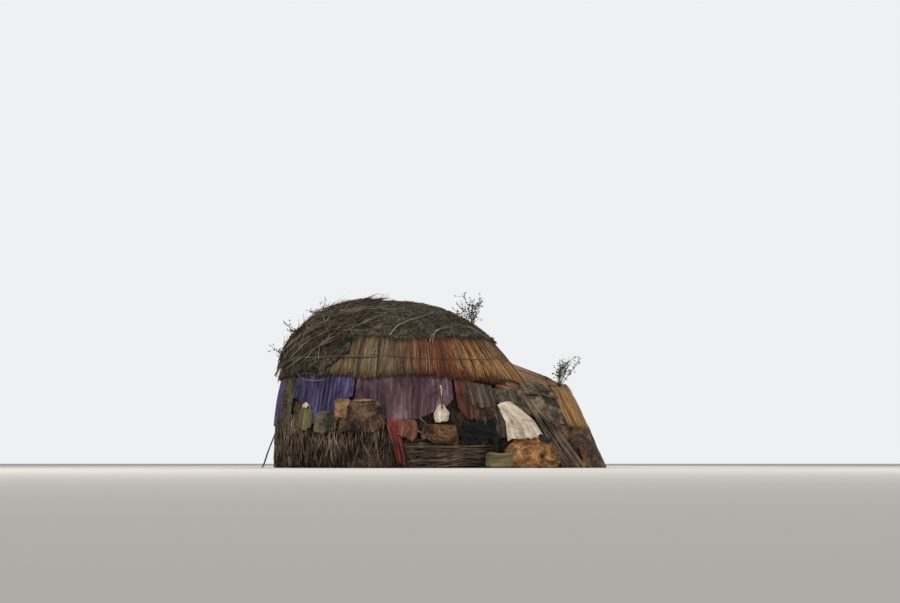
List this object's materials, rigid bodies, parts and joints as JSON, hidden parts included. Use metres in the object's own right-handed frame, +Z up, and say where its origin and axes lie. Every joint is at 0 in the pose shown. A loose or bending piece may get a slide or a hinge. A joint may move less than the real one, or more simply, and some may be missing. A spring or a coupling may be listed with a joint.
{
  "type": "rendille dome house",
  "caption": "Nomad's dome house of bent poles covered with woven mats, hides and cloths, with a low leaning porch and a small open doorway at the front.",
  "frame": {"origin": "on the ground, in the middle of the whole footprint", "axes": "+X towards the porch and its doorway, +Z up, -Y the side that faces the picture's viewer"},
  "size_m": [4.7893, 3.5073, 2.4059],
  "materials": {
    "bent_pole_wood": "bare bent poles, bark partly on",
    "bare_branch": "dry grey branches",
    "brushwood": "dark brushwood and stakes",
    "lining_hide": "smoke-dark mats and hides",
    "rust_mat": "woven fibre mat, rust to tan",
    "crown_mat": "weathered felted fibre mat",
    "gold_mat": "straw-coloured fibre mat",
    "rope": "twisted plant fibre rope",
    "blue_cloth": "faded indigo cotton",
    "mauve_cloth": "faded mauve cotton",
    "violet_cloth": "dark violet cotton",
    "rust_cloth": "rust-red cotton",
    "red_cloth": "brick-red cotton",
    "black_cloth": "black cotton",
    "cream_cloth": "dusty cream sheet",
    "khaki_cloth": "khaki sacking",
    "grey_mat": "grey-brown mat",
    "olive_hide": "olive-brown hide",
    "brown_hide": "dark brown hide",
    "tan_hide": "tan hide",
    "orange_hide": "orange-brown hide"
  },
  "bodies": {
    "root": {"cross_hoop_1": "bent_pole_wood", "cross_hoop_2": "bent_pole_wood", "cross_hoop_3": "bent_pole_wood", "cross_hoop_4": "bent_pole_wood", "cross_hoop_5": "bent_pole_wood", "long_arch_near": "bent_pole_wood", "long_arch_ridge": "bent_pole_wood", "long_arch_far": "bent_pole_wood", "ring_laths": "bent_pole_wood", "eave_pole": "bent_pole_wood", "porch_hoops": "bent_pole_wood", "door_frame": "bent_pole_wood", "wall_lining_near": "lining_hide", "wall_lining_back": "lining_hide", "wall_lining_far": "lining_hide", "roof_mat_near": "rust_mat", "roof_mat_back": "rust_mat", "roof_mat_far": "rust_mat", "roof_mat_front": "rust_mat", "crown_mat": "crown_mat", "crown_knot": "crown_mat", "roof_brush": "brushwood", "tie_ropes": "rope", "roof_branches": "bare_branch", "blue_cloth": "blue_cloth", "mauve_cloth": "mauve_cloth", "olive_hide": "olive_hide", "rust_cloth": "rust_cloth", "violet_strip": "violet_cloth", "brown_hide": "brown_hide", "grey_mat": "grey_mat", "khaki_strip": "khaki_cloth", "tan_hide": "tan_hide", "red_cloth": "red_cloth", "black_cloth": "black_cloth", "pale_bag": "cream_cloth", "orange_flap": "tan_hide", "far_cloths": "mauve_cloth", "stakes_near": "brushwood", "stakes_far": "brushwood", "wattle_poles": "bare_branch", "porch_wall_near": "lining_hide", "porch_wall_far": "lining_hide", "porch_roof": "rust_mat", "porch_roof_mat": "rust_mat", "porch_side_mats": "gold_mat", "porch_hides": "brown_hide", "cream_sheet": "cream_cloth", "orange_hide": "orange_hide", "grey_side_mat": "grey_mat", "far_porch_cloth": "cream_cloth", "front_wall": "gold_mat", "leaning_poles": "brushwood", "prop_pole": "bare_branch", "foot_bundle": "khaki_cloth"}
  },
  "joints": []
}
